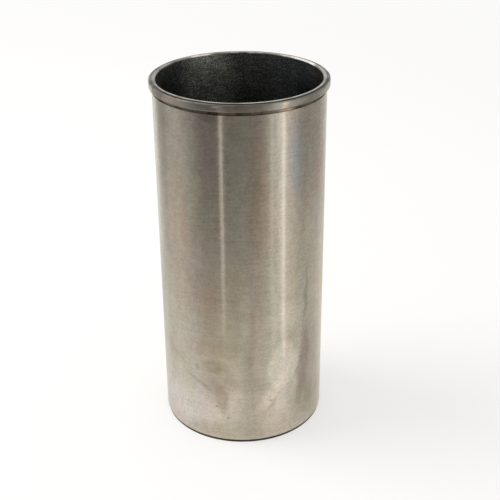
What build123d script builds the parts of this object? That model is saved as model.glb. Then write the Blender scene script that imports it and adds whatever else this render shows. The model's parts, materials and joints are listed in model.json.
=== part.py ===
from build123d import *

import math
import os

# A dry cylinder liner: one turned and bored iron sleeve with a flange at its top.
# The axis is +Z, the origin is the centre of the lower end face and the flange is at the top.
# Lengths are in millimetres.

# The sleeve.
bore_diameter = 98.5  # honed inside, where the piston runs
wall_thickness = 2.35  # out to the ground outside, which is pressed into the engine block
overall_length = 226.2  # lower end face to the top of the fire lip

# The flange that hangs the sleeve in the block's counterbore.
flange_overhang = 1.8  # past the sleeve's outside
flange_thickness = 4.3  # seat to shoulder

# The fire lip, which stands proud of the shoulder and bites into the head gasket.
lip_width = 1.85  # out from the bore
lip_height = 0.2

# The relief groove under the flange, which keeps the seat's corner clear of the block.
relief_width = 2.4
relief_depth = 0.6
relief_corner_radius = 0.3

# Edges.
bore_top_chamfer = 0.5
bore_foot_chamfer = 0.6
lip_edge_break = 0.05
shoulder_edge_chamfer = 0.5
seat_edge_chamfer = 0.3
lead_in_length = 2.0  # the taper that starts the sleeve into the block
lead_in_angle = 15.0  # degrees from the axis

# Radii and heights that follow from the sizes above.
bore_radius = bore_diameter / 2
body_radius = bore_radius + wall_thickness
flange_radius = body_radius + flange_overhang
lip_radius = bore_radius + lip_width
relief_radius = body_radius - relief_depth
foot_radius = body_radius - lead_in_length * math.tan(math.radians(lead_in_angle))
shoulder_height = overall_length - lip_height
seat_height = shoulder_height - flange_thickness
relief_foot_height = seat_height - relief_width

# Corners of the half section, clockwise from the inside of the lower end.
bore_foot = (bore_radius, 0)
end_corner = (foot_radius, 0)
lead_in_top = (body_radius, lead_in_length)
relief_ledge = (body_radius, relief_foot_height)
relief_bottom_corner = (relief_radius, relief_foot_height)
relief_top_corner = (relief_radius, seat_height)
seat_edge = (flange_radius, seat_height)
shoulder_edge = (flange_radius, shoulder_height)
lip_root = (lip_radius, shoulder_height)
lip_edge = (lip_radius, overall_length)
bore_mouth = (bore_radius, overall_length)
section_corners = [
    bore_foot,
    end_corner,
    lead_in_top,
    relief_ledge,
    relief_bottom_corner,
    relief_top_corner,
    seat_edge,
    shoulder_edge,
    lip_root,
    lip_edge,
    bore_mouth,
]


def corner_of(section, point):
    """The section's corner that lies at this point."""
    return section.vertices().sort_by_distance(Vector(*point))[0]


def half_section():
    """The wall cut along the axis, with its edges broken."""
    broken_edges = {
        bore_foot: bore_foot_chamfer,
        bore_mouth: bore_top_chamfer,
        lip_edge: lip_edge_break,
        shoulder_edge: shoulder_edge_chamfer,
        seat_edge: seat_edge_chamfer,
    }
    with BuildSketch(Plane.XZ) as section:
        with BuildLine():
            Polyline(*section_corners, close=True)
        make_face()
        for point, size in broken_edges.items():
            chamfer(corner_of(section, point), size)
        relief_corners = [corner_of(section, relief_bottom_corner), corner_of(section, relief_top_corner)]
        fillet(relief_corners, relief_corner_radius)
    return section.sketch


cylinder_liner = revolve(half_section(), Axis.Z, 360)
cylinder_liner.label = "cylinder_liner"

os.makedirs("parts", exist_ok=True)
export_step(cylinder_liner, "parts/cylinder_liner.step")
print(f"cylinder_liner: {cylinder_liner.volume / 1000:.1f} cm3")
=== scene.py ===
import json
import math
import bpy
from mathutils import Matrix


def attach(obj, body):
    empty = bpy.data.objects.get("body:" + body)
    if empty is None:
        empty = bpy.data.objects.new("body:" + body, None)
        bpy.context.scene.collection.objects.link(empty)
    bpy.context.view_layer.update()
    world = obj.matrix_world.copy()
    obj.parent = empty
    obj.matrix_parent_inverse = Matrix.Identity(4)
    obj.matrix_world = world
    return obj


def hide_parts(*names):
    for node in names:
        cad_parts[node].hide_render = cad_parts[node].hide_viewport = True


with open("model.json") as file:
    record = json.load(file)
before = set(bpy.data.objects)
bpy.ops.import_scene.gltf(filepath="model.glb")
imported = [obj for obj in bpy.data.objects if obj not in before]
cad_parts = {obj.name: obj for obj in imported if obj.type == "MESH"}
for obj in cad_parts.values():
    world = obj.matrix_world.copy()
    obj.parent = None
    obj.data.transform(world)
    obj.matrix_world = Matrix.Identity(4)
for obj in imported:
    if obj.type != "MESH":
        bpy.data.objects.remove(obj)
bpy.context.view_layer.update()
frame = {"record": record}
mm = 0.001

# The sleeve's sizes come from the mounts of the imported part.
mounts = {mount["name"]: mount for mount in frame["record"]["mounts"]}


def mountRadius(name):
    return mounts[name]["dims"]["r_mm"] * mm


def mountHeight(name):
    return mounts[name]["pos_m"][2]


def mountSpan(name):
    half = mounts[name]["dims"]["length_mm"] * mm / 2
    return mountHeight(name) - half, mountHeight(name) + half


linerTop = mountHeight("gasket_face")
seatHeight = mountHeight("flange_seat")
boreRadius = mountRadius("bore")
bodyRadius = mountRadius("outer_seat")
flangeRadius = mountRadius("flange_rim")
boreFoot, boreMouth = mountSpan("bore")
leadInTop, reliefFoot = mountSpan("outer_seat")
rimFoot, rimTop = mountSpan("flange_rim")
print("sizes read from the frame")

sleeve = {
    "segments": 288,
    "lipWidth": 1.85 * mm,  # out from the bore
    "lipHeight": 0.2 * mm,
    "reliefDepth": 0.6 * mm,
    "reliefCorner": 0.3 * mm,
    "cornerSteps": 4,
    "leadInAngle": 15.0,  # degrees from the axis
    "edgeBreak": 0.05 * mm,  # left by the stone on every turned edge
    "breakSteps": 2,
    "sharpFrom": 10.0,  # degrees, past which an edge gets its break
    "smoothUnder": 30.0,  # degrees, under which faces shade as one
    "mergeWithin": 0.001 * mm,
}

# Heights and radii that the rings below pass through.
shoulderTop = linerTop - sleeve["lipHeight"]
lipRadius = boreRadius + sleeve["lipWidth"]
reliefRadius = bodyRadius - sleeve["reliefDepth"]
footRadius = bodyRadius - leadInTop * math.tan(math.radians(sleeve["leadInAngle"]))
mouthRadius = boreRadius + linerTop - boreMouth
seatEdgeRadius = flangeRadius - (rimFoot - seatHeight)
shoulderEdgeRadius = flangeRadius - (shoulderTop - rimTop)


def deselectAll():
    for thing in bpy.context.selected_objects:
        thing.select_set(False)


def cornerRings(radius, height, corner, towards):
    # Rings round a small inside corner: towards is +1 for a floor and -1 for a ceiling.
    steps = sleeve["cornerSteps"]
    rings = []
    for step in range(steps + 1):
        turn = math.radians(90 * step / steps)
        outwards = radius + corner * (1 - math.sin(turn))
        upwards = height + towards * corner * (1 - math.cos(turn))
        rings.append((outwards, upwards))
    return rings if towards > 0 else rings[::-1]


def turnedRings():
    corner = sleeve["reliefCorner"]
    rings = [(boreRadius, boreFoot), (boreRadius + boreFoot, 0), (footRadius, 0)]
    rings += [(bodyRadius, leadInTop), (bodyRadius, reliefFoot)]
    rings += cornerRings(reliefRadius, reliefFoot, corner, 1)
    rings += cornerRings(reliefRadius, seatHeight, corner, -1)
    rings += [(seatEdgeRadius, seatHeight), (flangeRadius, rimFoot), (flangeRadius, rimTop)]
    rings += [(shoulderEdgeRadius, shoulderTop), (lipRadius, shoulderTop), (lipRadius, linerTop)]
    rings += [(mouthRadius, linerTop), (boreRadius, boreMouth)]
    return rings


def turnSleeve():
    # One circle is drawn out ring by ring, as a lathe tool follows the profile, and the bore closes it.
    rings = turnedRings()
    radius, height = rings[0]
    bpy.ops.mesh.primitive_circle_add(vertices=sleeve["segments"], radius=radius, location=(0, 0, height))
    piece = bpy.context.object
    piece.name = "linerSleeve"
    bpy.ops.object.transform_apply(location=True, rotation=False, scale=False)
    bpy.ops.object.mode_set(mode="EDIT")
    bpy.ops.mesh.select_all(action="SELECT")
    for nextRadius, nextHeight in rings[1:]:
        bpy.ops.mesh.extrude_edges_move()
        scale = nextRadius / radius
        bpy.ops.transform.resize(value=(scale, scale, 1), center_override=(0, 0, height))
        bpy.ops.transform.translate(value=(0, 0, nextHeight - height))
        radius, height = nextRadius, nextHeight
    bpy.ops.mesh.select_all(action="DESELECT")
    bpy.ops.mesh.select_non_manifold()
    bpy.ops.mesh.bridge_edge_loops()
    bpy.ops.mesh.select_all(action="SELECT")
    bpy.ops.mesh.remove_doubles(threshold=sleeve["mergeWithin"])
    bpy.ops.mesh.normals_make_consistent(inside=False)
    bpy.ops.mesh.select_all(action="DESELECT")
    bpy.ops.mesh.edges_select_sharp(sharpness=math.radians(sleeve["sharpFrom"]))
    bpy.ops.mesh.bevel(offset=sleeve["edgeBreak"], segments=sleeve["breakSteps"], affect="EDGES")
    bpy.ops.object.mode_set(mode="OBJECT")
    bpy.ops.object.shade_smooth_by_angle(angle=math.radians(sleeve["smoothUnder"]))
    return piece


deselectAll()
liner = turnSleeve()
print("sleeve turned:", len(liner.data.polygons), "faces")


def newFinish(name, **sockets):
    material = bpy.data.materials.new(name)
    material.use_nodes = True
    shader = material.node_tree.nodes["Principled BSDF"]
    for socket, value in sockets.items():
        shader.inputs[socket].default_value = value
    return material, material.node_tree, shader


def feed(tree, value, socket):
    # A number or colour is set on the socket, and another node's output is linked to it.
    if isinstance(value, bpy.types.NodeSocket):
        tree.links.new(value, socket)
    else:
        socket.default_value = value


def maths(tree, operation, *values):
    node = tree.nodes.new("ShaderNodeMath")
    node.operation = operation
    for socket, value in zip(node.inputs, values):
        feed(tree, value, socket)
    return node.outputs[0]


def vectorMaths(tree, operation, *values):
    node = tree.nodes.new("ShaderNodeVectorMath")
    node.operation = operation
    for socket, value in zip(node.inputs, values):
        feed(tree, value, socket)
    return node.outputs["Value" if operation in ("LENGTH", "DOT_PRODUCT") else "Vector"]


def remap(tree, value, low, high, newLow, newHigh):
    # Eases from newLow at low to newHigh at high.
    node = tree.nodes.new("ShaderNodeMapRange")
    node.interpolation_type = "SMOOTHSTEP"
    for socket, amount in zip(node.inputs, (value, low, high, newLow, newHigh)):
        feed(tree, amount, socket)
    return node.outputs["Result"]


def spreadAbout(tree, noise, spread, middle):
    # Half the spread under the middle where the noise is 0, and half over it where it is 1.
    if isinstance(middle, bpy.types.NodeSocket):
        low = maths(tree, "SUBTRACT", middle, spread / 2)
    else:
        low = middle - spread / 2
    return maths(tree, "MULTIPLY_ADD", noise, spread, low)


def tintedBy(tree, colour, noise, spread):
    # Multiplies a colour by the noise's own colours, brought close to white.
    tint = vectorMaths(tree, "MULTIPLY_ADD", noise, (spread,) * 3, (1 - spread / 2,) * 3)
    return vectorMaths(tree, "MULTIPLY", colour, tint)


def objectPlace(tree):
    return tree.nodes.new("ShaderNodeTexCoord").outputs["Object"]


def stretched(tree, vector, scale, turn=0.0, shift=(0, 0, 0)):
    node = tree.nodes.new("ShaderNodeMapping")
    node.inputs["Scale"].default_value = scale
    node.inputs["Rotation"].default_value = (0, 0, math.radians(turn))
    node.inputs["Location"].default_value = shift
    tree.links.new(vector, node.inputs["Vector"])
    return node.outputs["Vector"]


def noiseOn(tree, vector, scale, detail, output="Fac"):
    node = tree.nodes.new("ShaderNodeTexNoise")
    node.inputs["Scale"].default_value = scale
    node.inputs["Detail"].default_value = detail
    tree.links.new(vector, node.inputs["Vector"])
    return node.outputs[output]


def blend(tree, factor, under, over, mode="MULTIPLY"):
    node = tree.nodes.new("ShaderNodeMix")
    node.data_type = "RGBA"
    node.blend_type = mode
    feed(tree, factor, node.inputs[0])
    feed(tree, under, node.inputs[6])
    feed(tree, over, node.inputs[7])
    return node.outputs[2]


def bumped(tree, shader, height, depth):
    node = tree.nodes.new("ShaderNodeBump")
    node.inputs["Distance"].default_value = depth
    tree.links.new(height, node.inputs["Height"])
    tree.links.new(node.outputs["Normal"], shader.inputs["Normal"])


def turnedGrain(tree, shader):
    # Turned and ground metal spreads its highlights across the tool lines.
    tangent = tree.nodes.new("ShaderNodeTangent")
    tangent.direction_type = "RADIAL"
    tangent.axis = "Z"
    tree.links.new(tangent.outputs["Tangent"], shader.inputs["Tangent"])
    quarterTurn = 0.25
    shader.inputs["Anisotropic Rotation"].default_value = quarterTurn


def chartRound(tree, radius, seamInFront=False):
    # The wall laid flat in mm: across it the arc from the front, or from the back, and up it the height.
    parts = tree.nodes.new("ShaderNodeSeparateXYZ")
    tree.links.new(objectPlace(tree), parts.inputs["Vector"])
    side = 1 if seamInFront else -1
    across = maths(tree, "MULTIPLY", parts.outputs["X"], -side)
    ahead = maths(tree, "MULTIPLY", parts.outputs["Y"], side)
    turn = maths(tree, "ARCTAN2", across, ahead)
    flat = tree.nodes.new("ShaderNodeCombineXYZ")
    tree.links.new(maths(tree, "MULTIPLY", turn, radius / mm), flat.inputs["X"])
    tree.links.new(maths(tree, "DIVIDE", parts.outputs["Z"], mm), flat.inputs["Y"])
    return flat.outputs["Vector"]


def wobbled(tree, chart, far, size):
    # Moves places on the chart about, so that what is drawn there gets an uneven edge.
    wobble = noiseOn(tree, chart, 1 / size, 3.0, "Color")
    centred = vectorMaths(tree, "SUBTRACT", wobble, (0.5, 0.5, 0.5))
    moved = vectorMaths(tree, "MULTIPLY", centred, (2 * far, 2 * far, 0))
    return vectorMaths(tree, "ADD", chart, moved)


def markOn(tree, chart, radius, azimuth, height, wide, tall, tilt, soft):
    # 1 in the middle of a mark and 0 outside it. Its size is in mm, and it leans by tilt degrees.
    # The chart's third number is 1, so one dot product shifts, turns and scales it.
    lean = math.radians(tilt)
    middle = (math.radians(azimuth) * radius / mm, height)
    across = (math.cos(lean), math.sin(lean), wide)
    upwards = (-math.sin(lean), math.cos(lean), tall)
    parts = []
    for right, up, size in (across, upwards):
        shift = -right * middle[0] - up * middle[1]
        share = 2 / size
        row = (right * share, up * share, shift * share)
        parts.append(vectorMaths(tree, "DOT_PRODUCT", chart, row))
    squared = maths(tree, "MULTIPLY_ADD", parts[0], parts[0], maths(tree, "MULTIPLY", parts[1], parts[1]))
    return remap(tree, maths(tree, "SQRT", squared), 1 - soft, 1 + soft * 0.5, 1.0, 0.0)


def layMarks(tree, colour, chart, radius, marks):
    # Gives the chart its third number and multiplies the colour by each mark's tint.
    chart = vectorMaths(tree, "ADD", chart, (0, 0, 1))
    for *shape, tint in marks.values():
        colour = blend(tree, markOn(tree, chart, radius, *shape), colour, (*tint, 1))
    return colour


groundWall = {
    "colour": (0.615, 0.553, 0.458, 1),
    "roughness": 0.285,
    "anisotropic": 1.0,  # 1 where the shine spreads wholly across the tool lines
    "cloudRoughness": 0.06,  # how far the clouds and the lines make it uneven
    "lineRoughness": 0.10,
    "grain": 0.105,  # how much darker or lighter the grinding lines and grit go
    "grainReach": (0.38, 0.62),  # the values of the noise that go from darkest to lightest
    "clouds": 0.15,  # uneven tints all over
    "cloudScale": (34, 34, 13),
    "cloudReach": (0.35, 0.65),
    "warm": (1.10, 0.97, 0.86, 1),
    "cool": (0.90, 1.00, 1.04, 1),
    "patches": 0.07,  # colours that differ from patch to patch
    "patchScale": (60, 60, 24),
    "streaks": 0.14,  # and from streak to streak
    "streakScale": (190, 190, 5),
    "lineDepth": 0.014 * mm,
    "markWander": (4.0, 16.0),  # how far a mark's edge wanders, and over what length, in mm
    "markFray": (0.9, 2.5),
}
# The wall's grain: how often each noise changes in a metre along X, Y and Z, its detail and its share.
wallGrain = {
    "fineLines": ((150, 150, 900), 2.0, 0.34),
    "broadLines": ((5, 5, 240), 2.0, 0.04),
    "grit": ((640, 640, 640), 1.0, 0.34),
    "mottle": ((260, 260, 110), 2.0, 0.28),
}
# Stains, lighter and darker places, painted reflections and painted highlights on the wall: azimuth from the
# front and height of the middle, width, height and lean, softness, then the tint that the metal's colour is
# multiplied by.
wallMarks = {
    "warmMiddle": (12, 112, 116, 130, 0, 1.0, (1.02, 1.00, 0.95)),
    "paleUpperLeft": (-38, 152, 34, 66, 0, 1.0, (1.08, 1.07, 1.06)),
    "paleUpperRight": (47, 148, 26, 40, 0, 1.0, (1.10, 1.09, 1.08)),
    # paleLeft and paleRight, with paleLeftHigh and paleRightEdge below, are partly painted reflection: the
    # sides of the wall drawn lighter where they shine more.
    "paleLeft": (-66, 134, 24, 130, 0, 1.0, (1.21, 1.21, 1.22)),
    "paleRight": (68, 112, 26, 126, 8, 1.0, (1.22, 1.21, 1.19)),
    "brownLeft": (-23, 101, 26, 46, 0, 0.9, (0.88, 0.82, 0.79)),
    "dullBelowIt": (-22, 74, 24, 36, 0, 0.9, (0.84, 0.85, 0.81)),
    "coolLowLeft": (-54, 24, 74, 50, 0, 0.9, (0.98, 1.00, 1.06)),
    "pinkAcross": (-28, 68, 34, 14, 6, 0.8, (0.97, 0.91, 0.89)),
    "dullNearMiddle": (-10, 62, 22, 44, 0, 0.9, (0.87, 0.87, 0.85)),
    "smudge": (-20.5, 55.5, 17, 11, 8, 0.7, (0.76, 0.77, 0.72)),
    "smudgeTop": (-23, 59, 6, 2.6, 8, 0.9, (0.84, 0.85, 0.80)),
    "smudgeDab": (-17.5, 55, 6, 4, 10, 0.9, (0.92, 0.92, 0.88)),
    "smudgeFoot": (-21, 52, 8, 2.4, 4, 0.8, (0.86, 0.86, 0.81)),
    "smudgeSpot": (-33, 53.5, 3.4, 4.2, 0, 0.8, (0.76, 0.78, 0.72)),
    "leaningStreak": (-32, 42, 32, 3.4, -27, 0.8, (0.85, 0.83, 0.80)),
    "leaningStreakHigh": (-54, 55, 26, 5, -22, 0.9, (0.92, 0.90, 0.88)),
    "leaningShade": (-50, 56, 44, 16, -20, 0.9, (0.96, 0.95, 0.93)),
    "drip": (-15.7, 32, 8.6, 24, 1, 0.45, (0.77, 0.74, 0.71)),
    "dripHead": (-16, 44, 32, 16, 0, 0.9, (0.80, 0.80, 0.77)),
    "dripSide": (-25, 42, 12, 14, 0, 0.9, (0.93, 0.92, 0.90)),
    # The next two are lighter places low on the left.
    "wipedLeft": (-42, 22, 50, 26, -5, 0.45, (1.10, 1.11, 1.13)),
    "wipedLow": (-54, 12, 38, 18, -4, 0.8, (1.04, 1.05, 1.09)),
    "coolFootLeft": (-67, 10, 20, 26, 0, 0.9, (0.99, 1.00, 1.06)),
    "dullLeftLow": (-60, 58, 14, 42, 0, 0.9, (0.88, 0.88, 0.87)),
    # A lighter place low in the middle.
    "wipedMiddle": (-6, 29, 10, 18, 0, 0.9, (1.09, 1.09, 1.08)),
    "middleStreak": (6.6, 82, 6, 66, -4.5, 0.8, (0.87, 0.87, 0.83)),
    "middleThread": (3.5, 52, 9, 36, -3, 0.9, (0.88, 0.87, 0.84)),
    "middleDab": (5, 60, 3, 9, -3, 0.8, (0.92, 0.91, 0.88)),
    "dullAcross": (5, 72, 36, 26, 0, 0.9, (0.91, 0.91, 0.90)),
    "dullLow": (10, 43, 15, 17, 0, 0.9, (0.86, 0.86, 0.85)),
    "dullBesideSlit": (-6, 94, 10, 50, 0, 0.9, (0.87, 0.87, 0.85)),
    "dullBeforeStep": (14, 98, 8, 44, 0, 0.9, (0.91, 0.91, 0.90)),
    "dullMiddle": (9, 52, 18, 44, 4, 0.9, (0.88, 0.88, 0.85)),
    "pinkTouch": (3, 93, 12, 10, 0, 0.9, (0.97, 0.91, 0.89)),
    "lowMiddle": (5, 18, 20, 44, 6, 0.8, (0.82, 0.81, 0.76)),
    "lowRim": (-16, 8, 46, 15, 0, 0.8, (0.85, 0.84, 0.80)),
    "dullLowLeft": (-24, 32, 9, 14, 0, 0.9, (0.91, 0.90, 0.88)),
    "lowRimRight": (24, 8, 30, 14, 0, 0.8, (0.93, 0.92, 0.90)),
    # Painted highlight: the next four carry the bright band on the right down the lower wall.
    "wipedRight": (28.5, 55, 22, 33, -5, 0.18, (1.19, 1.18, 1.19)),
    "wipedRightHigh": (33, 89, 20, 22, 0, 0.7, (1.15, 1.14, 1.13)),
    "wipedRightLow": (18.5, 34, 8, 36, -37, 0.4, (1.17, 1.14, 1.15)),
    "wipedRightFoot": (27, 29, 11, 19, 0, 0.9, (1.13, 1.13, 1.14)),
    "thinStreak": (19, 27, 2.4, 18, -35, 0.9, (0.88, 0.86, 0.84)),
    # Painted reflection: a cooler tint along that bright band.
    "coolCore": (28, 118, 9, 190, 0, 0.9, (0.965, 0.995, 1.06)),
    "dullRight": (36, 76, 10, 26, 10, 0.9, (0.93, 0.92, 0.89)),
    "oliveStreak": (49, 98, 3.6, 46, -5, 0.8, (0.72, 0.74, 0.65)),
    "brownRight": (47, 52, 12, 52, -6, 0.45, (0.74, 0.69, 0.66)),
    "shadeRightLow": (58, 58, 26, 80, 0, 0.9, (0.79, 0.77, 0.75)),
    "dullRightMiddle": (55, 122, 16, 34, 0, 0.9, (0.91, 0.91, 0.90)),
    "oliveRightLow": (47, 24, 22, 34, -6, 0.7, (0.76, 0.76, 0.70)),
    "darkRightFoot": (62, 14, 24, 40, 0, 0.9, (0.82, 0.81, 0.77)),
    "purpleUpper": (-21, 190, 11, 38, 0, 0.9, (1.06, 0.95, 1.02)),
    "greenMiddle": (-4, 172, 12, 70, 0, 0.9, (0.98, 1.05, 1.02)),
    "greenLeft": (-19, 160, 9, 44, 0, 0.9, (0.99, 1.06, 1.01)),
    "greenRightOfMiddle": (10, 184, 8, 26, 0, 0.9, (0.96, 1.05, 1.02)),
    "purpleMiddle": (8, 204, 8, 26, 0, 0.9, (1.01, 0.98, 0.98)),
    "brownUpper": (12, 172, 14, 96, 0, 1.0, (1.10, 0.99, 0.88)),
    "oliveUpper": (-31, 166, 9, 44, 0, 1.0, (1.03, 1.03, 0.91)),
    "blueRight": (38, 190, 14, 46, 0, 0.8, (0.90, 0.99, 1.11)),
    "greenRight": (48, 198, 9, 44, 0, 1.0, (0.95, 1.01, 0.95)),
    "pinkEdge": (64, 178, 10, 26, 0, 0.8, (1.08, 0.95, 0.90)),
    "dullTopRight": (40, 208, 16, 20, 0, 0.9, (0.92, 0.92, 0.92)),
    "dullTopEdge": (75, 211, 14, 16, 0, 0.9, (0.84, 0.84, 0.84)),
    # Partly painted reflection, as paleLeft and paleRight above.
    "paleRightEdge": (71, 128, 10, 90, 4, 0.9, (1.12, 1.12, 1.10)),
    "paleLeftHigh": (-68, 156, 14, 130, 0, 1.0, (1.15, 1.15, 1.15)),
    "paleUnderRim": (-32, 182, 18, 50, 0, 0.9, (1.10, 1.10, 1.09)),
    "paleMiddleHigh": (0, 168, 10, 60, 0, 0.9, (1.07, 1.07, 1.07)),
    "dullTopLeft": (-54, 211, 10, 14, 0, 0.9, (0.88, 0.88, 0.88)),
    "taupeLeft": (-47, 156, 17, 92, 0, 0.9, (1.05, 0.98, 0.95)),
    "taupeLeftLow": (-42, 104, 24, 48, 0, 0.9, (1.05, 0.98, 0.96)),
    "brownTouch": (-3, 118, 14, 38, 0, 0.9, (1.03, 0.985, 0.95)),
    "warmRight": (52, 167, 18, 20, 0, 0.9, (1.02, 0.995, 0.95)),
    "coolEdgeLeft": (-74, 96, 14, 200, 0, 0.9, (0.98, 1.0, 1.05)),
    "greenTop": (-2, 208, 15, 20, 0, 0.9, (0.93, 1.01, 0.97)),
    "darkUnderGroove": (-18, 217, 14, 5, 0, 0.8, (0.72, 0.70, 0.68)),
    "specLeft": (-20, 26, 1.8, 1.8, 0, 0.9, (0.50, 0.50, 0.46)),
    "specMiddle": (-11, 18, 2.2, 1.8, 0, 0.9, (0.50, 0.51, 0.45)),
    "specRight": (19, 30, 1.6, 1.6, 0, 0.9, (0.66, 0.62, 0.57)),
    "scratchFoot": (35, 5, 1.2, 6, 20, 0.9, (0.70, 0.68, 0.64)),
    "smearBack": (158, 70, 46, 40, -20, 0.9, (0.86, 0.83, 0.78)),
    "wipedBack": (-150, 44, 50, 34, 18, 0.7, (1.12, 1.11, 1.10)),
    "streakBack": (-118, 96, 14, 80, 6, 0.9, (0.86, 0.84, 0.79)),
    "brownSide": (96, 120, 20, 70, -5, 0.9, (0.90, 0.84, 0.80)),
    "oliveSide": (112, 40, 26, 34, 10, 0.8, (0.84, 0.84, 0.78)),
}


def groundWallFinish():
    material, tree, shader = newFinish("groundWall", Metallic=1.0, Anisotropic=groundWall["anisotropic"])
    turnedGrain(tree, shader)
    look = groundWall
    place = objectPlace(tree)
    lines = 0.0
    for scale, detail, share in wallGrain.values():
        noise = noiseOn(tree, stretched(tree, place, scale), 1.0, detail)
        lines = maths(tree, "MULTIPLY_ADD", noise, share, lines)
    clouds = noiseOn(tree, stretched(tree, place, look["cloudScale"]), 1.0, 1.0)
    patches = noiseOn(tree, stretched(tree, place, look["patchScale"]), 1.0, 0.0, "Color")
    streaks = noiseOn(tree, stretched(tree, place, look["streakScale"]), 1.0, 1.0, "Color")
    tint = blend(tree, remap(tree, clouds, *look["cloudReach"], 0.0, 1.0), look["warm"], look["cool"], "MIX")
    tint = blend(tree, look["clouds"], (1, 1, 1, 1), tint, "MIX")
    colour = vectorMaths(tree, "MULTIPLY", tint, look["colour"][:3])
    colour = tintedBy(tree, colour, patches, look["patches"])
    colour = tintedBy(tree, colour, streaks, look["streaks"])
    shade = remap(tree, lines, *look["grainReach"], 1 - look["grain"], 1 + look["grain"])
    colour = vectorMaths(tree, "MULTIPLY", colour, shade)
    chart = wobbled(tree, chartRound(tree, bodyRadius), *look["markWander"])
    chart = wobbled(tree, chart, *look["markFray"])
    colour = layMarks(tree, colour, chart, bodyRadius, wallMarks)
    tree.links.new(colour, shader.inputs["Base Color"])
    uneven = spreadAbout(tree, clouds, look["cloudRoughness"], look["roughness"])
    rough = spreadAbout(tree, lines, look["lineRoughness"], uneven)
    tree.links.new(rough, shader.inputs["Roughness"])
    bumped(tree, shader, lines, look["lineDepth"])
    return material


turnedFlange = {
    "colour": (0.49, 0.450, 0.385, 1),
    "roughness": 0.36,
    "anisotropic": 0.85,
    "grain": 0.55,
    "lineDepth": 0.02 * mm,
    "soot": (0.72, 0.69, 0.66, 1),  # the stained patches
}
flangeMarks = {
    # A real ding whose glint is painted as lighter metal; glintRight is a painted highlight.
    "ding": (-15, 224.7, 4.5, 1.5, 0, 0.8, (2.1, 2.05, 1.95)),
    "brownLeft": (-52, 224, 34, 12, 0, 0.9, (1.02, 0.94, 0.92)),
    "darkFront": (-6, 223, 52, 14, 0, 0.9, (0.76, 0.75, 0.72)),
    "glintRight": (28, 224, 4.5, 10, 0, 0.9, (1.35, 1.22, 1.10)),
    "paleSide": (62, 224, 16, 10, 0, 0.9, (1.18, 1.18, 1.12)),
    "paleLeftSide": (-78, 224, 16, 10, 0, 0.9, (1.25, 1.25, 1.22)),
}

# What all the turned faces share.
turnedFaces = {
    "linesAcross": 1400,  # how often the tool lines change in a metre across them
    "linesAlong": 40,  # and along them
    "ringShare": 1.7,  # lines on a level ring for each one on a wall
    "grit": 700.0,
    "patches": 110.0,
    "patchReach": (0.45, 0.68),  # the values of the noise that go from clean to stained
    "gritReach": (0.55, 0.75),
    "gritStain": 0.5,
    "gritDepth": 0.5,
    "patchRoughness": 0.16,
    "lineRoughness": 0.12,
    "markWander": (0.8, 3.0),
}


def turnedFaceFinish(name, look, marks):
    # Turned faces: lines run round the axis, on walls by height and on rings by distance from it.
    material, tree, shader = newFinish(name, Metallic=1.0, Anisotropic=look["anisotropic"])
    turnedGrain(tree, shader)
    cut = turnedFaces
    place = objectPlace(tree)
    parts = tree.nodes.new("ShaderNodeSeparateXYZ")
    tree.links.new(place, parts.inputs["Vector"])
    flat = vectorMaths(tree, "MULTIPLY", place, (1, 1, 0))
    outwards = maths(tree, "MULTIPLY", vectorMaths(tree, "LENGTH", flat), cut["ringShare"])
    across = maths(tree, "ADD", parts.outputs["Z"], outwards)
    spot = tree.nodes.new("ShaderNodeCombineXYZ")
    tree.links.new(maths(tree, "MULTIPLY", parts.outputs["X"], cut["linesAlong"]), spot.inputs["X"])
    tree.links.new(maths(tree, "MULTIPLY", parts.outputs["Y"], cut["linesAlong"]), spot.inputs["Y"])
    tree.links.new(maths(tree, "MULTIPLY", across, cut["linesAcross"]), spot.inputs["Z"])
    lines = noiseOn(tree, spot.outputs["Vector"], 1.0, 3.0)
    grit = noiseOn(tree, place, cut["grit"], 2.0)
    patches = noiseOn(tree, place, cut["patches"], 4.0)
    colour = blend(tree, 1.0, look["colour"], spreadAbout(tree, lines, look["grain"], 1))
    stained = remap(tree, patches, *cut["patchReach"], 0.0, 1.0)
    colour = blend(tree, stained, colour, look["soot"])
    stained = remap(tree, grit, *cut["gritReach"], 0.0, cut["gritStain"])
    colour = blend(tree, stained, colour, look["soot"])
    if marks:
        chart = wobbled(tree, chartRound(tree, flangeRadius), *cut["markWander"])
        colour = layMarks(tree, colour, chart, flangeRadius, marks)
    tree.links.new(colour, shader.inputs["Base Color"])
    uneven = spreadAbout(tree, patches, cut["patchRoughness"], look["roughness"])
    rough = spreadAbout(tree, lines, cut["lineRoughness"], uneven)
    tree.links.new(rough, shader.inputs["Roughness"])
    raised = maths(tree, "ADD", lines, maths(tree, "MULTIPLY", grit, cut["gritDepth"]))
    bumped(tree, shader, raised, look["lineDepth"])
    return material


fireLip = {
    "colour": (0.37, 0.355, 0.315, 1),
    "roughness": 0.34,
    "anisotropic": 0.7,
    "grain": 0.35,
    "lineDepth": 0.01 * mm,
    "soot": (0.62, 0.58, 0.54, 1),
}
lipMarks = {
    # Painted reflections round the lip: the bright lengths are painted highlights, over three times the
    # metal's colour, and the dull ones darker painted reflection.
    "brightFront": (0, 226, 90, 20, 0, 0.4, (1.45, 1.43, 1.40)),
    "dullLeft": (-90, 226, 48, 20, 0, 0.6, (0.76, 0.74, 0.69)),
    "brightBackRight": (131, 226, 32, 20, 0, 0.35, (3.2, 3.25, 3.4)),
    "brightBack": (168, 226, 10, 20, 0, 0.5, (2.0, 2.0, 1.95)),
    "brightBackMiddle": (-178, 226, 8, 20, 0, 0.5, (1.6, 1.6, 1.55)),
    "dullBack": (-166, 226, 9, 20, 0, 0.6, (0.6, 0.58, 0.56)),
    "brightBackLeft": (-151, 226, 16, 20, 0, 0.4, (2.4, 2.38, 2.3)),
    "dullBackLeft": (-134, 226, 14, 20, 0, 0.7, (0.6, 0.58, 0.56)),
}
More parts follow.
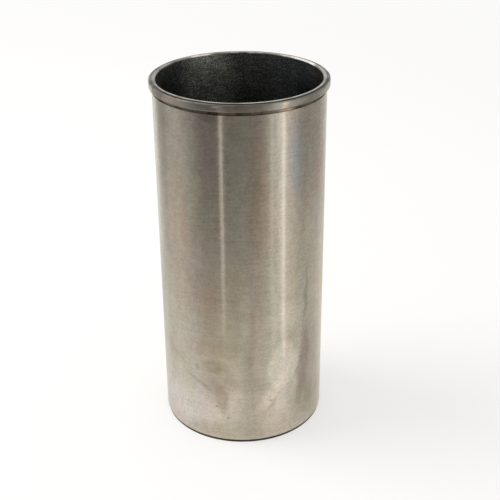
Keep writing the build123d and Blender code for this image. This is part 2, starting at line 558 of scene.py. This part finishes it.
roughShoulder = {
    "colour": (0.21, 0.195, 0.165, 1),
    "roughness": 0.48,
    "anisotropic": 0.6,
    "grain": 0.7,
    "lineDepth": 0.03 * mm,
    "soot": (0.50, 0.46, 0.42, 1),
}
shoulderMarks = {
    # Painted shade: the shoulder drawn near black at the front, where the step under the lip is shaded and
    # reflects dark.
    "oiledFront": (8, 226, 150, 20, 0, 0.3, (0.10, 0.10, 0.10)),
}
freshEdge = {
    "colour": (0.36, 0.342, 0.295, 1),
    "roughness": 0.38,
    "anisotropic": 0.6,
    "grain": 0.4,
    "lineDepth": 0.01 * mm,
    "soot": (0.55, 0.50, 0.46, 1),
}
edgeMarks = {
    # Painted highlight along the worn edge at the left front, and painted shade on the edge at the front.
    "wornLeft": (-38, 226, 46, 20, 0, 0.6, (1.5, 1.46, 1.40)),
    "dullFront": (14, 226, 20, 20, 0, 0.9, (0.6, 0.6, 0.58)),
}
mouthEdge = {
    "colour": (0.22, 0.21, 0.185, 1),
    "roughness": 0.36,
    "anisotropic": 0.6,
    "grain": 0.5,
    "lineDepth": 0.01 * mm,
    "soot": (0.55, 0.50, 0.46, 1),
}
mouthMarks = {
    # Painted highlights: the mouth chamfer drawn up to five times lighter at the back.
    "brightBackRight": (130, 226, 34, 20, 0, 0.35, (4.5, 4.7, 5.2)),
    "brightBack": (168, 226, 10, 20, 0, 0.5, (3.2, 3.2, 3.1)),
    "brightBackMiddle": (-178, 226, 8, 20, 0, 0.5, (2.0, 2.0, 1.95)),
    "brightBackLeft": (-151, 226, 15, 20, 0, 0.4, (4.2, 4.2, 4.1)),
}
reliefGroove = {
    "colour": (0.25, 0.21, 0.17, 1),
    "roughness": 0.42,
    "anisotropic": 0.8,
    "grain": 0.7,
    "lineDepth": 0.03 * mm,
    "soot": (0.45, 0.39, 0.33, 1),
}
grooveMarks = {
    # Lighter lengths of the groove; the right two are painted reflections of a bright light.
    "cleanMiddle": (6, 220, 18, 12, 0, 0.9, (1.7, 1.7, 1.65)),
    "cleanRight": (31, 220, 10, 12, 0, 0.8, (2.6, 2.5, 2.3)),
    "cleanFarRight": (46, 220, 16, 12, 0, 0.9, (1.6, 1.6, 1.5)),
}
# The lead-in's near-black colour is partly painted shade from the contact at the foot, partly dark metal.
leadIn = {
    "colour": (0.062, 0.055, 0.044, 1),
    "roughness": 0.5,
    "anisotropic": 0.7,
    "grain": 0.5,
    "lineDepth": 0.02 * mm,
    "soot": (0.60, 0.56, 0.50, 1),
}
honedBore = {
    "colour": (0.125, 0.127, 0.12, 1),
    "roughness": 0.36,
    "speckleRoughness": 0.14,
    "hatchAngle": 27,  # degrees from level, both ways
    "hatchScale": (0.12, 2.4, 1),  # how often it changes in a mm along and across its lines
    "hatchShift": (31, 17, 0),  # keeps the second way's lines unlike the first's
    "hatchReach": (0.45, 0.75),
    "hatch": 0.7,
    "filmScale": 38.0,
    "filmReach": (0.42, 0.62),
    "film": (1.6, 1.6, 1.55, 1),  # where the dark film is thin
    "speckleScale": (1700, 1700, 1000),
    "speckleReach": (0.36, 0.70),
    "specks": (0.60, 2.1),  # how dark and how light the grit goes
    "speckleDepth": 0.4,
    "lineDepth": 0.02 * mm,
    "markWander": (5.0, 12.0),
}
# Marks in the bore, with the azimuth counted from the back.
boreMarks = {
    "deepFilm": (6, 184, 190, 56, 0, 0.9, (1.55, 1.55, 1.52)),
    "thinFilm": (30, 200, 40, 90, 0, 0.9, (2.3, 2.32, 2.2)),
    "thinFilmMiddle": (8, 214, 14, 30, 0, 0.9, (1.3, 1.3, 1.25)),
    "thinFilmRight": (-58, 217, 30, 16, 0, 0.9, (1.8, 1.8, 1.85)),
    "blueRight": (-42, 206, 40, 60, 0, 0.9, (0.95, 0.98, 1.12)),
    "darkMiddle": (-10, 206, 24, 50, 0, 0.9, (0.75, 0.75, 0.75)),
}


def honedBoreFinish():
    material, tree, shader = newFinish("honedBore", Metallic=1.0)
    look = honedBore
    chart = chartRound(tree, boreRadius, seamInFront=True)
    angle = look["hatchAngle"]
    one = noiseOn(tree, stretched(tree, chart, look["hatchScale"], angle), 1.0, 3.0)
    turned = stretched(tree, chart, look["hatchScale"], -angle, look["hatchShift"])
    hatch = maths(tree, "MAXIMUM", one, noiseOn(tree, turned, 1.0, 3.0))
    place = objectPlace(tree)
    speckle = noiseOn(tree, stretched(tree, place, look["speckleScale"]), 1.0, 2.0)
    film = noiseOn(tree, place, look["filmScale"], 4.0)
    shade = remap(tree, hatch, *look["hatchReach"], 1 - look["hatch"] / 2, 1 + look["hatch"] / 2)
    colour = blend(tree, 1.0, look["colour"], shade)
    colour = blend(tree, remap(tree, film, *look["filmReach"], 0.0, 1.0), colour, look["film"])
    specks = remap(tree, speckle, *look["speckleReach"], *look["specks"])
    colour = vectorMaths(tree, "MULTIPLY", colour, specks)
    uneven = wobbled(tree, chart, *look["markWander"])
    colour = layMarks(tree, colour, uneven, boreRadius, boreMarks)
    tree.links.new(colour, shader.inputs["Base Color"])
    rough = spreadAbout(tree, speckle, look["speckleRoughness"], look["roughness"])
    tree.links.new(rough, shader.inputs["Roughness"])
    raised = maths(tree, "ADD", hatch, maths(tree, "MULTIPLY", speckle, look["speckleDepth"]))
    bumped(tree, shader, raised, look["lineDepth"])
    return material


finishes = {
    "groundWall": groundWallFinish(),
    "turnedFlange": turnedFaceFinish("turnedFlange", turnedFlange, flangeMarks),
    "fireLip": turnedFaceFinish("fireLip", fireLip, lipMarks),
    "roughShoulder": turnedFaceFinish("roughShoulder", roughShoulder, shoulderMarks),
    "freshEdge": turnedFaceFinish("freshEdge", freshEdge, edgeMarks),
    "mouthEdge": turnedFaceFinish("mouthEdge", mouthEdge, mouthMarks),
    "reliefGroove": turnedFaceFinish("reliefGroove", reliefGroove, grooveMarks),
    "honedBore": honedBoreFinish(),
    "leadIn": turnedFaceFinish("leadIn", leadIn, {}),
}
print("finishes made:", len(finishes))


def finishAt(radius, height):
    tiny = 0.03 * mm
    if height < leadInTop - tiny:
        return "leadIn"
    if radius < mouthRadius - tiny:
        return "mouthEdge" if height > boreMouth - tiny else "honedBore"
    if height > shoulderTop + tiny:
        return "fireLip"
    if height > shoulderTop - tiny and radius < shoulderEdgeRadius - tiny:
        return "roughShoulder"
    if height > rimTop:
        return "freshEdge"
    if height > rimFoot:
        return "turnedFlange"
    if height > seatHeight and radius > seatEdgeRadius - tiny:
        return "freshEdge"
    if height > reliefFoot:
        return "reliefGroove"
    return "groundWall"


slotNames = list(finishes)
for name in slotNames:
    liner.data.materials.append(finishes[name])
for face in liner.data.polygons:
    middle = face.center
    finishName = finishAt(math.hypot(middle.x, middle.y), middle.z)
    face.material_index = slotNames.index(finishName)
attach(liner, "root")
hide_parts("cylinder_liner")
print("finishes laid on the sleeve")

studio = {
    "worldOnObject": 0.75,  # what the room's light gives a surface
    "floorSize": 24.0,
    "floorColour": (0.93, 0.905, 0.86, 1),
    "floorShare": 0.6,  # how much of the floor is plain white, over its own shade
    "whiteFrom": 0.5,  # metres out, where that share starts to grow
    "whitePast": 2.0,  # metres out, past which it is all plain white
    "footLight": 0.7,  # what the pale floor gives the foot of a card
}

bpy.ops.mesh.primitive_plane_add(size=studio["floorSize"], location=(0, 0, 0))
floor = bpy.context.object
floor.name = "floor"
floorPaint, tree, shader = newFinish("floorPaint", Roughness=1.0)
shader.inputs["Base Color"].default_value = studio["floorColour"]
shader.inputs["Specular IOR Level"].default_value = 0.0
floor.data.materials.append(floorPaint)


def seenDirectly(tree):
    # 1 for the rays that look straight at a thing, or by way of metal or glass.
    path = tree.nodes.new("ShaderNodeLightPath")
    straight = maths(tree, "MAXIMUM", path.outputs["Is Camera Ray"], path.outputs["Is Glossy Ray"])
    return maths(tree, "MAXIMUM", straight, path.outputs["Is Transmission Ray"])


white = tree.nodes.new("ShaderNodeEmission")
white.inputs["Strength"].default_value = 1.0
mix = tree.nodes.new("ShaderNodeMixShader")
away = vectorMaths(tree, "LENGTH", objectPlace(tree))
share = remap(tree, away, studio["whiteFrom"], studio["whitePast"], studio["floorShare"], 1.0)
tree.links.new(maths(tree, "MULTIPLY", seenDirectly(tree), share), mix.inputs["Fac"])
tree.links.new(shader.outputs["BSDF"], mix.inputs[1])
tree.links.new(white.outputs["Emission"], mix.inputs[2])
tree.links.new(mix.outputs["Shader"], tree.nodes["Material Output"].inputs["Surface"])

world = bpy.data.worlds.new("studio")
bpy.context.scene.world = world
world.use_nodes = True
tree = world.node_tree
background = tree.nodes["Background"]
background.inputs["Color"].default_value = (1, 1, 1, 1)
level = tree.nodes.new("ShaderNodeMapRange")
level.inputs["To Min"].default_value = studio["worldOnObject"]
level.inputs["To Max"].default_value = 1.0
tree.links.new(seenDirectly(tree), level.inputs["Value"])
tree.links.new(level.outputs["Result"], background.inputs["Strength"])
print("floor and room made")

# Upright cards round the sleeve, seen only in its shine. Each stands from one azimuth to the next, in
# degrees with 0 towards the camera, at its distance in mm, and goes from the first light to the second.
# Last come the height in mm over which its foot fades to the light of the floor, and its own height in m.
cards = {
    "cardLeftEdge": (-134, -116, 200, 1.00, 0.50, 160, 0.42),
    "cardLeftGrey": (-118, -98, 198, 0.42, 0.41, 155, 0.42),
    "cardLeftPanel": (-99, -80, 196, 0.55, 0.55, 140, 0.42),
    "cardLeftFade": (-81, -46, 194, 0.52, 0.22, 130, 1.6),
    "cardLeftDark": (-48, -24, 192, 0.19, 0.19, 115, 1.6),
    "cardSlit": (-21.1, -18.0, 118, 0.78, 0.78, 10, 1.6),
    "cardMiddleDark": (-26, 23, 192, 0.20, 0.23, 115, 1.6),
    "cardRightRise": (22, 34.5, 190, 0.26, 0.44, 170, 1.6),
    "cardRightStep": (30.9, 33.2, 125, 0.84, 0.80, 60, 1.6),
    "cardRightSlope": (34, 43, 194, 0.54, 0.68, 150, 1.6),
    "cardRightPanel": (42, 58, 196, 0.84, 0.86, 115, 1.6),
    "cardRightCore": (44.2, 47.2, 125, 1.55, 1.55, 82, 1.6),
    "cardRightFade": (56, 79, 194, 0.68, 0.38, 130, 0.5),
    "cardRightGrey": (78, 110, 190, 0.34, 0.38, 170, 0.5),
    "cardRightEdge": (106, 146, 198, 0.40, 0.95, 190, 1.6),
}


def standCard(name, start, end, distance, startLight, endLight, fade, tall):
    turn = math.radians((start + end) / 2)
    distance = distance * mm
    bpy.ops.mesh.primitive_plane_add(size=1, location=(0, 0, 0))
    card = bpy.context.object
    card.name = name
    wide = 2 * distance * math.tan(math.radians((end - start) / 2))
    card.matrix_world = (
        Matrix.Rotation(turn, 4, "Z")
        @ Matrix.Translation((0, -distance, tall / 2))
        @ Matrix.Rotation(math.radians(90), 4, "X")
        @ Matrix.Diagonal((wide, tall, 1, 1))
    )
    material = bpy.data.materials.new(name)
    material.use_nodes = True
    tree = material.node_tree
    tree.nodes.remove(tree.nodes["Principled BSDF"])
    glow = tree.nodes.new("ShaderNodeEmission")
    parts = tree.nodes.new("ShaderNodeSeparateXYZ")
    tree.links.new(objectPlace(tree), parts.inputs["Vector"])
    # The card's own X and Y run from -0.5 to 0.5, before it is stretched.
    sideways = remap(tree, parts.outputs["X"], -0.5, 0.5, startLight, endLight)
    above = maths(tree, "MULTIPLY_ADD", parts.outputs["Y"], tall, tall / 2)
    whole = remap(tree, above, 0.0, fade * mm, 0.0, 1.0)
    footLight = studio["footLight"]
    light = maths(tree, "MULTIPLY_ADD", maths(tree, "SUBTRACT", sideways, footLight), whole, footLight)
    tree.links.new(light, glow.inputs["Strength"])
    tree.links.new(glow.outputs["Emission"], tree.nodes["Material Output"].inputs["Surface"])
    card.data.materials.append(material)
    card.visible_camera = False
    card.visible_diffuse = False
    card.visible_shadow = False
    card.visible_transmission = False
    card.visible_volume_scatter = False


for name, reach in cards.items():
    standCard(name, *reach)
print("cards stood:", len(cards))

keyLight = {
    "size": 0.9,
    "power": 12,
    "distance": 1.5,
    "slant": 35,  # degrees from straight above
    "turn": -96,  # degrees round the sleeve from the camera's side
}
keyData = bpy.data.lights.new("keyLamp", "AREA")
keyData.shape = "DISK"
keyData.size = keyLight["size"]
keyData.energy = keyLight["power"]
keyLamp = bpy.data.objects.new("keyLamp", keyData)
bpy.context.scene.collection.objects.link(keyLamp)
keyLamp.matrix_world = (
    Matrix.Rotation(math.radians(keyLight["turn"]), 4, "Z")
    @ Matrix.Rotation(math.radians(keyLight["slant"]), 4, "X")
    @ Matrix.Translation((0, 0, keyLight["distance"]))
)
keyLamp.visible_glossy = False

cameraSet = {
    "distance": 579.7 * mm,  # out from the sleeve's axis
    "height": 404.2 * mm,
    "pitch": 26.77,  # degrees down
    "yaw": 0.52,
    "roll": -0.55,
    "lens": 73.5,
    "sensorWidth": 36,
    "nearest": 0.01,
}
cameraData = bpy.data.cameras.new("camera")
cameraData.lens = cameraSet["lens"]
cameraData.sensor_width = cameraSet["sensorWidth"]
cameraData.clip_start = cameraSet["nearest"]
camera = bpy.data.objects.new("camera", cameraData)
bpy.context.scene.collection.objects.link(camera)
camera.matrix_world = (
    Matrix.Translation((0, -cameraSet["distance"], cameraSet["height"]))
    @ Matrix.Rotation(math.radians(-cameraSet["yaw"]), 4, "Z")
    @ Matrix.Rotation(math.radians(90 - cameraSet["pitch"]), 4, "X")
    @ Matrix.Rotation(math.radians(cameraSet["roll"]), 4, "Z")
)
bpy.context.scene.camera = camera
bpy.context.scene.view_settings.view_transform = "Standard"
print("lamp and camera set")
